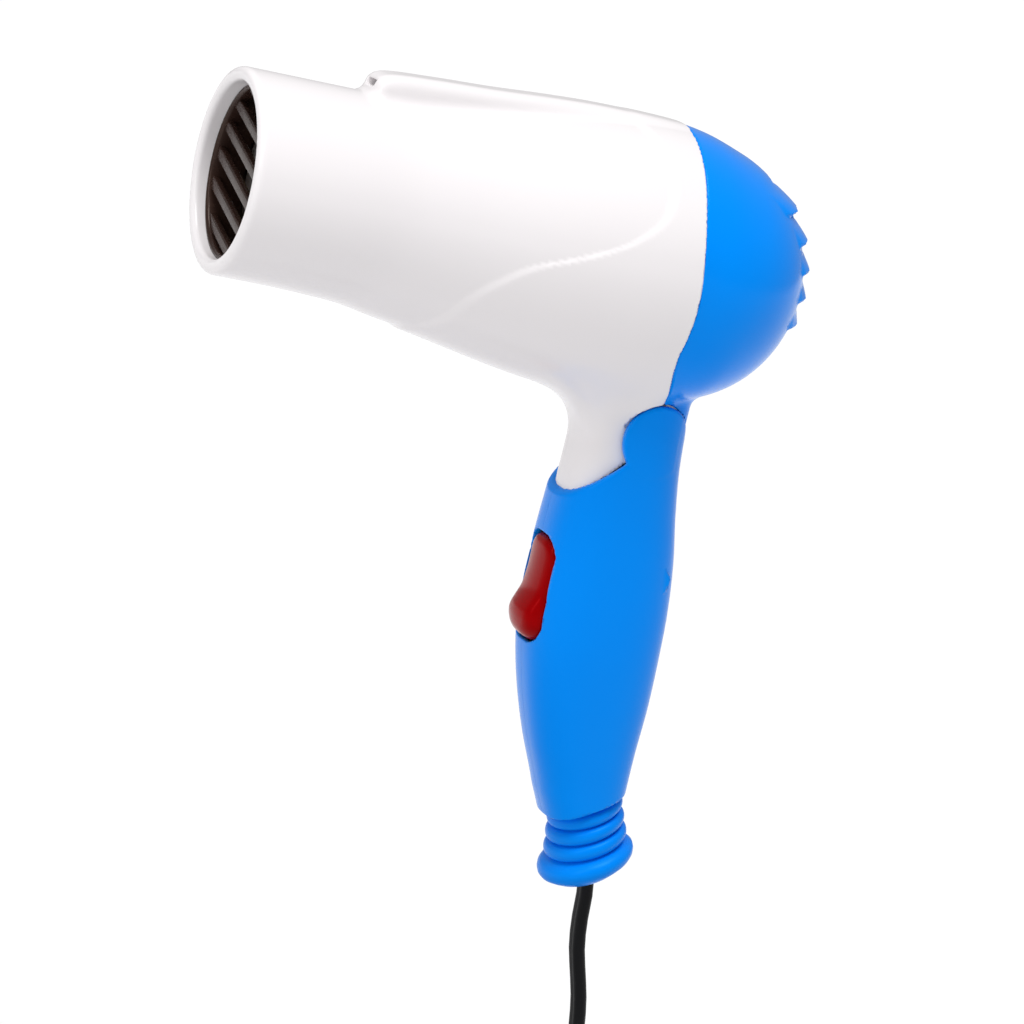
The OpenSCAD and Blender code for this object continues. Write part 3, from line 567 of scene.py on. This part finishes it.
def grip_field(p, inset):
    """The grip's rounded section, its size read from the lists above, moved inwards by inset."""
    x, y, z = p[..., 0], p[..., 1], p[..., 2]
    front_x, rear_x = through(z, GRIP_Z, GRIP_FRONT), through(z, GRIP_Z, GRIP_REAR)
    middle, a = (front_x + rear_x) / 2, (rear_x - front_x) / 2 - inset
    b = through(z, GRIP_Z, GRIP_HALF) - inset
    q = (np.abs((x - middle) / a) ** 2.7 + np.abs(y / b) ** 2.7) ** (1 / 2.7)
    return (q - 1) * b


ROCKER_MIDDLE = 12.25


def rounded(p, half_y, half_z, corner):
    """Distance from the upright rounded oblong that the rocker fills."""
    across = np.maximum(np.abs(p[..., 1]) - half_y + corner, 0)
    return np.hypot(across, np.maximum(np.abs(p[..., 2] - ROCKER_MIDDLE) - half_z + corner, 0)) - corner


def handle_field(p):
    """Both halves as one: the hollow grip, its ears, screw posts and two openings."""
    x, y, z = p[..., 0], p[..., 1], p[..., 2]
    side, d = np.abs(y), np.hypot(x, z - PIVOT)
    along = (x - BOOT_AT[0]) * BOOT_SIN - (z - BOOT_AT[1]) * BOOT_COS
    off = np.hypot((x - BOOT_AT[0]) * BOOT_COS + (z - BOOT_AT[1]) * BOOT_SIN, y)
    hollow = smooth_max(grip_field(p, 1.8), along + 1.6, 0.4)
    f = smooth_max(grip_field(p, 0), -hollow, 0.3)
    edge = -0.688 * x + 0.725 * (z - PIVOT)
    outline = smooth_min(smooth_max(edge, z - PIVOT - 2, 0.4), d - EAR_R, 0.8)
    f = smooth_max(f, outline, 0.7)
    clear = smooth_max(smooth_max(d - 8.55, side - EAR_INNER, 0.3), grip_field(p, 0.9), 0.3)
    f = smooth_max(f, -clear, 0.3)
    ear = smooth_max(smooth_max(d - EAR_R, EAR_INNER - side, 0.3), grip_field(p, 0), 0.7)
    stub = smooth_max(d - 3.5, np.abs(side - 9) - 1.8, 0.3)
    f = smooth_min(f, smooth_min(ear, stub, 0.3), 0.3)
    for bx, bz, half in BOSSES:
        q = np.hypot(x - bx, z - bz)
        f = smooth_min(f, smooth_max(q - 3, side - half, 0.3), 0.4)
        f = smooth_max(f, -smooth_max(q - 1.45, -y - half + 2, 0.2), 0.2)
        f = smooth_max(f, -smooth_max(q - 2.65, half - 2.4 - y, 0.2), 0.25)
    hole = smooth_max(rounded(p, 7.5, 13.15, 5.6), x + 10, 0.3)
    f = smooth_max(f, -hole, 0.5)
    f = smooth_max(f, along, 0.5)
    return smooth_max(f, -smooth_max(off - 6.5, -along - 3, 0.2), 0.3)


handle_axes = (steps(-21, 22, 0.68), steps(-15, 15, 0.68), steps(-46, 63.5, 0.68))
for name, sign, node in (("left_shell", -1, "handle_left"), ("right_shell", 1, "handle_right")):
    shell = skin_of(name, handle_field, handle_axes, cuts=[((0, 0.04 * sign, 0), (0, -sign, 0))])
    wear(shell, blue_gloss)
    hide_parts(node)
    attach(shell, "handle")

# ---- Rocker ---------------------------------------------------------------------------
# The red rocker: one glossy moulding with round ends, a long sloping thumb face and a nose
# at its lower end, which stands out while the dryer is off.
ROCKER_PIN = (-12.2, 13.6)


def rocker_field(p):
    """The rocker, measured from its pin."""
    x, y, z = p[..., 0] - ROCKER_PIN[0], p[..., 1], p[..., 2] - ROCKER_PIN[1]
    face = through(z, [-14.6, -13.4, -11.6, -9.8, -8.4, -7, -5.2, -2.8, 1, 6, 9.5, 11, 12],
                   [-5.2, -6.2, -7.3, -8, -8.3, -8.2, -7.6, -6.7, -6.2, -6.2, -6.4, -6.4, -6.1])
    face = face + 0.03 * y ** 2
    f = smooth_max((face - x) * 0.85, x - 2.4 + 0.02 * z ** 2, 0.5)
    f = smooth_max(f, rounded(p, 7.15, 12.85, 5.3), 3)
    pin = smooth_max(np.hypot(x, z) - 1.2, np.abs(y) - 7.6, 0.2)
    return smooth_min(f, pin, 0.2)


rocker_grid = (steps(-22, -9, 0.4), steps(-9.4, 9.4, 0.4), steps(-2.5, 27, 0.4))
rocker = skin_of("rocker_cap", rocker_field, rocker_grid)
red_gloss = finish_of("red_gloss", (0.31, 0.001, 0.002), (0.27, 0.0, 0.001), rough=0.22, spread=0.03, grain=700,
                      bump=0.03, patch=50, shine=0.35, tint_of_shine=(1, 0.04, 0.04))
wear(rocker, red_gloss)
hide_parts("switch_rocker")
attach(rocker, "rocker")

# ---- Boot -----------------------------------------------------------------------------
# The soft blue sleeve round the cord. Its collar sits in the handle's slanted lower end, the
# rings run parallel to that slant and let it bend, and a broad flange closes it.
boot_profile = [(2.7, -3.2), (6.9, -3.2), (7.1, -1.8), (6.3, -1.8), (6.3, 0.1)]
BOOT_RINGS = [(2.5, 9.45, 1.75), (6.3, 9.85, 1.75), (10.2, 10.35, 1.8)]
for middle, outer, half in BOOT_RINGS:
    for a in np.linspace(-90, 90, 15):
        s, c = math.sin(math.radians(a)), math.cos(math.radians(a))
        boot_profile.append((outer - 1.9 + 1.9 * max(c, 0) ** 0.75, middle + half * s))
boot_profile += [(8.7, 12.2), (9.7, 12.5), (11, 13.1), (11.8, 14), (12, 14.9), (11.85, 15.9), (11.2, 16.9),
                 (9.8, 17.9), (8.2, 18.9), (6.4, 19.6), (4.6, 20.1), (3.5, 20.3), (2.9, 20.2), (2.7, 19.6)]
LEAN_SIN, LEAN_COS = 0.2672, 0.9636
BOOT_STEPS = 72
boot_rings = []
for r, t in boot_profile:
    ring = []
    for i in range(BOOT_STEPS):
        a = 2 * math.pi * i / BOOT_STEPS
        across, side = r * math.cos(a), r * math.sin(a)
        ring.append((BOOT_AT[0] + t * LEAN_SIN + across * BOOT_COS, side,
                     BOOT_AT[1] - t * LEAN_COS + across * BOOT_SIN))
    boot_rings.append(ring)
boot = add_hoop("boot_sleeve", boot_rings)
blue_soft = finish_of("blue_soft", (0.0, 0.25, 0.93), (0.0, 0.225, 0.86), rough=0.34, spread=0.05, grain=900,
                      bump=0.08, patch=30, shine=0.3, tint_of_shine=(0.1, 0.5, 1))
wear(boot, blue_soft)
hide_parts("cord_boot")
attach(boot, "handle")

# ---- Outlet grille --------------------------------------------------------------------
# A glossy black-brown moulding behind the lip: a ring, six near-level bars across it and
# one bar behind them. It keeps fingers off the heater, and sits in the nozzle's bore.
def tree_for(name, sizes):
    """A new node group with one named input for each size, in millimetres."""
    group = bpy.data.node_groups.new(name, "GeometryNodeTree")
    group.interface.new_socket("Geometry", in_out="INPUT", socket_type="NodeSocketGeometry")
    for key, value in sizes.items():
        kind = "NodeSocketInt" if isinstance(value, int) else "NodeSocketFloat"
        group.interface.new_socket(key, in_out="INPUT", socket_type=kind)
    group.interface.new_socket("Geometry", in_out="OUTPUT", socket_type="NodeSocketGeometry")
    return group, group.nodes.new("NodeGroupInput"), group.nodes.new("NodeGroupOutput")


def node_of(group, kind, **values):
    """A new node in the group, with these settings."""
    node = group.nodes.new(kind)
    for key, value in values.items():
        setattr(node, key, value)
    return node


def sum_of(group, operation, a, b=None):
    """One step of arithmetic between sockets or plain numbers."""
    node = node_of(group, "ShaderNodeMath", operation=operation)
    for slot, value in enumerate([v for v in (a, b) if v is not None]):
        if isinstance(value, (int, float)):
            node.inputs[slot].default_value = value
        else:
            group.links.new(value, node.inputs[slot])
    return node.outputs[0]


def grown(name, group, sizes, mat):
    """Runs a node group with these sizes, and leaves its result as a plain mesh."""
    holder = add_piece(name + "_seed", [(0, 0, 0)], [])
    grow = holder.modifiers.new("grow", "NODES")
    grow.node_group = group
    for item in group.interface.items_tree:
        if item.in_out == "INPUT" and item.name in sizes:
            grow[item.identifier] = sizes[item.name]
    out = holder.evaluated_get(bpy.context.evaluated_depsgraph_get())
    mesh = bpy.data.meshes.new_from_object(out)
    bpy.data.objects.remove(holder)
    piece = bpy.data.objects.new(name, mesh)
    scene.collection.objects.link(piece)
    wear(piece, mat)
    return piece


def finish_tree(group, geometry, outlet, mat):
    """Ends a group: instances become real and take the material."""
    real = node_of(group, "GeometryNodeRealizeInstances")
    paint = node_of(group, "GeometryNodeSetMaterial")
    paint.inputs["Material"].default_value = mat
    group.links.new(geometry, real.inputs["Geometry"])
    group.links.new(real.outputs["Geometry"], paint.inputs["Geometry"])
    group.links.new(paint.outputs["Geometry"], outlet.inputs["Geometry"])


brown_gloss = finish_of("brown_gloss", (0.04, 0.02, 0.015), (0.02, 0.011, 0.009), rough=0.26, spread=0.08,
                        grain=900, bump=0.08, patch=90, shine=0.25, tint_of_shine=(1, 0.8, 0.7))
GRILLE_TURN, TIE_X, TIE_REACH = 14.82, -105.4, 18.6
bar_sizes = {"Bars": 6, "Pitch": 6.6, "Thickness": 1.9, "Depth": 2.6, "Reach": 19.6, "Front": -112.0,
             "Turn": GRILLE_TURN}
group, inlet, outlet = tree_for("grille_bars", bar_sizes)
link = group.links.new
line = node_of(group, "GeometryNodeMeshLine")
link(inlet.outputs["Bars"], line.inputs["Count"])
low = sum_of(group, "MULTIPLY", inlet.outputs["Pitch"], -2.5)
start = node_of(group, "ShaderNodeCombineXYZ")
step_up = node_of(group, "ShaderNodeCombineXYZ")
link(low, start.inputs["Z"])
link(inlet.outputs["Pitch"], step_up.inputs["Z"])
link(start.outputs[0], line.inputs["Start Location"])
link(step_up.outputs[0], line.inputs["Offset"])
rod = node_of(group, "GeometryNodeCurvePrimitiveLine")
rod.inputs["Start"].default_value = (0, -1, 0)
rod.inputs["End"].default_value = (0, 1, 0)
profile = node_of(group, "GeometryNodeCurvePrimitiveQuadrilateral")
link(inlet.outputs["Thickness"], profile.inputs["Width"])
link(inlet.outputs["Depth"], profile.inputs["Height"])
fillet = node_of(group, "GeometryNodeFilletCurve")
fillet.inputs["Radius"].default_value = 0.45
fillet.mode = "POLY"
fillet.inputs["Count"].default_value = 3
link(profile.outputs["Curve"], fillet.inputs["Curve"])
skin = node_of(group, "GeometryNodeCurveToMesh")
skin.inputs["Fill Caps"].default_value = True
link(rod.outputs["Curve"], skin.inputs["Curve"])
link(fillet.outputs["Curve"], skin.inputs["Profile Curve"])
place = node_of(group, "GeometryNodeInputPosition")
split = node_of(group, "ShaderNodeSeparateXYZ")
link(place.outputs[0], split.inputs[0])
reach_squared = sum_of(group, "POWER", inlet.outputs["Reach"], 2.0)
height_squared = sum_of(group, "POWER", sum_of(group, "ABSOLUTE", split.outputs["Z"]), 2.0)
half = sum_of(group, "SQRT", sum_of(group, "SUBTRACT", reach_squared, height_squared))
size = node_of(group, "ShaderNodeCombineXYZ")
size.inputs["X"].default_value = 1
size.inputs["Z"].default_value = 1
link(half, size.inputs["Y"])
lay = node_of(group, "GeometryNodeInstanceOnPoints")
link(line.outputs["Mesh"], lay.inputs["Points"])
link(skin.outputs["Mesh"], lay.inputs["Instance"])
link(size.outputs[0], lay.inputs["Scale"])
settle = node_of(group, "GeometryNodeTransform")
shift = node_of(group, "ShaderNodeCombineXYZ")
link(sum_of(group, "ADD", inlet.outputs["Front"], 1.3), shift.inputs["X"])
shift.inputs["Z"].default_value = AXIS
tilt = node_of(group, "ShaderNodeCombineXYZ")
link(sum_of(group, "RADIANS", inlet.outputs["Turn"]), tilt.inputs["X"])
link(lay.outputs["Instances"], settle.inputs["Geometry"])
link(shift.outputs[0], settle.inputs["Translation"])
link(tilt.outputs[0], settle.inputs["Rotation"])
to_metres = node_of(group, "GeometryNodeTransform")
to_metres.inputs["Scale"].default_value = (0.001, 0.001, 0.001)
link(settle.outputs["Geometry"], to_metres.inputs["Geometry"])
finish_tree(group, to_metres.outputs["Geometry"], outlet, brown_gloss)
bars = grown("grille_bars", group, bar_sizes, brown_gloss)

ring_profile = [(-112.3, 20.0), (-112.4, 19.5), (-112.2, 19.1), (-111.6, 18.9), (-105, 18.7), (-103.6, 18.9),
                (-103.4, 20.6), (-104, 21.15), (-110, 21.15), (-110.2, 20.0)]
RING_STEPS = 96
ring_turns = [2 * math.pi * i / RING_STEPS for i in range(RING_STEPS)]
rim = add_hoop("grille_ring", [[(x, r * math.sin(a), AXIS + r * math.cos(a)) for a in ring_turns]
                               for x, r in ring_profile])
wear(rim, brown_gloss)
TIE_SIN, TIE_COS = 0.256, -0.967
tie_ends = []
for end in (-TIE_REACH, TIE_REACH):
    tie_ends.append([(TIE_X + a, end * TIE_SIN + b * TIE_COS, AXIS - end * TIE_COS + b * TIE_SIN)
                     for a, b in oval(1.6, 1.2, 4, 24)])
tie = add_loft("grille_tie", tie_ends)
wear(tie, brown_gloss)
for piece in (bars, rim, tie):
    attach(piece, "head")
    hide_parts("outlet_grille")

# ---- Inside ---------------------------------------------------------------------------
# What the shells hide: the mica heater in the nozzle, the motor and fan in the barrel, the
# leads through the neck, and the switch and clamps in the handle. CAD shapes, real finishes.
INNER = {
    ("intake_screen",):
        finish_of("dark_screen", (0.015, 0.016, 0.018), (0.03, 0.03, 0.033), rough=0.5, grain=1200, bump=0.3),
    ("mica_sleeve", "mica_boards"):
        finish_of("mica", (0.42, 0.33, 0.22), (0.25, 0.19, 0.12), rough=0.35, spread=0.15, grain=400, bump=0.3,
                  patch=140, depth=0.0002),
    ("heater_coils",):
        finish_of("heater_wire", (0.45, 0.42, 0.4), (0.3, 0.26, 0.24), rough=0.35, metal=1, grain=2500),
    ("thermostat", "motor_can", "motor_shaft", "handle_screws", "detent_spring", "clamp_screws"):
        finish_of("steel", (0.56, 0.57, 0.58), (0.45, 0.46, 0.48), rough=0.28, metal=1, grain=1800, bump=0.1,
                  streak=(0.2, 1, 1)),
    ("thermal_fuse", "motor_bushes", "switch_contacts"):
        finish_of("brass", (0.75, 0.55, 0.22), (0.62, 0.43, 0.16), rough=0.3, metal=1, grain=1500, bump=0.1),
    ("motor_carrier", "switch_housing", "cord_clamp"):
        finish_of("ivory_plastic", (0.66, 0.62, 0.52), (0.6, 0.55, 0.45), rough=0.45, grain=900, bump=0.15),
    ("motor_end_cap", "rectifier_diodes", "impeller"):
        finish_of("black_plastic", (0.015, 0.015, 0.016), (0.028, 0.028, 0.03), rough=0.42, grain=1000,
                  bump=0.2),
    ("suppression_capacitor",):
        finish_of("capacitor_skin", (0.55, 0.19, 0.03), (0.45, 0.14, 0.02), rough=0.3, grain=700),
    ("head_leads", "handle_leads"):
        finish_of("lead_insulation", (0.55, 0.5, 0.42), (0.46, 0.42, 0.36), rough=0.5, grain=1400, bump=0.2),
    ("armature",):
        finish_of("copper", (0.72, 0.34, 0.17), (0.5, 0.2, 0.09), rough=0.32, metal=1, grain=2200, bump=0.5),
    ("crimp_caps",):
        finish_of("cap_plastic", (0.5, 0.42, 0.3), (0.4, 0.33, 0.23), rough=0.4, grain=900),
}
for nodes, mat in INNER.items():
    for node in nodes:
        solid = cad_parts[node]
        for place in solid.material_slots:
            place.material = mat

# ---- Stage ----------------------------------------------------------------------------
# A pale floor just below the plug, with a painted shadow that makes it darker under the dryer,
# a high sun and a soft sky, and one softbox for the gloss.
FLOOR_HALF, FLOOR_Z = 20000, -276
floor_corners = [(x * FLOOR_HALF, y * FLOOR_HALF, FLOOR_Z) for x, y in ((-1, -1), (1, -1), (1, 1), (-1, 1))]
floor = add_piece("floor", floor_corners, [(0, 1, 2, 3)])
paint = finish_of("floor_with_painted_shadow", (0.95, 0.95, 0.953), (0.5, 0.5, 0.505), rough=0.9, grain=3, patch=0.5,
                  bump=0.0, shine=0.1)
# The floor's colour carries a painted shadow: the darker colour within 0.28 m of the origin, under the dryer,
# blending to the pale one beyond 0.6 m.
mix = paint.node_tree.nodes["Mix"]
reach = paint.node_tree.nodes.new("ShaderNodeVectorMath")
reach.operation = "LENGTH"
painted_shadow_pool = paint.node_tree.nodes.new("ShaderNodeMapRange")
painted_shadow_pool.interpolation_type = "SMOOTHSTEP"
painted_shadow_pool.inputs["From Min"].default_value = 0.28
painted_shadow_pool.inputs["From Max"].default_value = 0.6
painted_shadow_pool.inputs["To Min"].default_value = 1
painted_shadow_pool.inputs["To Max"].default_value = 0
paint.node_tree.links.new(paint.node_tree.nodes["Texture Coordinate"].outputs["Object"], reach.inputs[0])
paint.node_tree.links.new(reach.outputs["Value"], painted_shadow_pool.inputs["Value"])
paint.node_tree.links.new(painted_shadow_pool.outputs["Result"], mix.inputs["Factor"])
wear(floor, paint)
scene.view_settings.view_transform = "Standard"
world = bpy.data.worlds.new("sky")
scene.world = world
world.use_nodes = True
world.node_tree.nodes["Background"].inputs["Color"].default_value = (1, 1, 1, 1)
world.node_tree.nodes["Background"].inputs["Strength"].default_value = 0.36


def add_light(name, kind, place, aim, energy, size):
    """A lamp at a place that shines at the aim; size is a sun's angle or a softbox's two sides."""
    lamp = bpy.data.lights.new(name, kind)
    lamp.energy = energy
    if kind == "SUN":
        lamp.angle = size
    else:
        lamp.shape = "RECTANGLE"
        lamp.size, lamp.size_y = size
    holder = bpy.data.objects.new(name, lamp)
    scene.collection.objects.link(holder)
    way = Vector(place) - Vector(aim)
    holder.matrix_world = Matrix.Translation(place) @ way.to_track_quat("Z", "Y").to_matrix().to_4x4()


add_light("sun", "SUN", (-0.35, -0.6, 2.0), (0, 0, 0), 2.45, 0.6)
add_light("softbox", "AREA", (-0.8, -0.45, 0.5), (-0.02, 0, 0.03), 1.6, (0.12, 0.6))
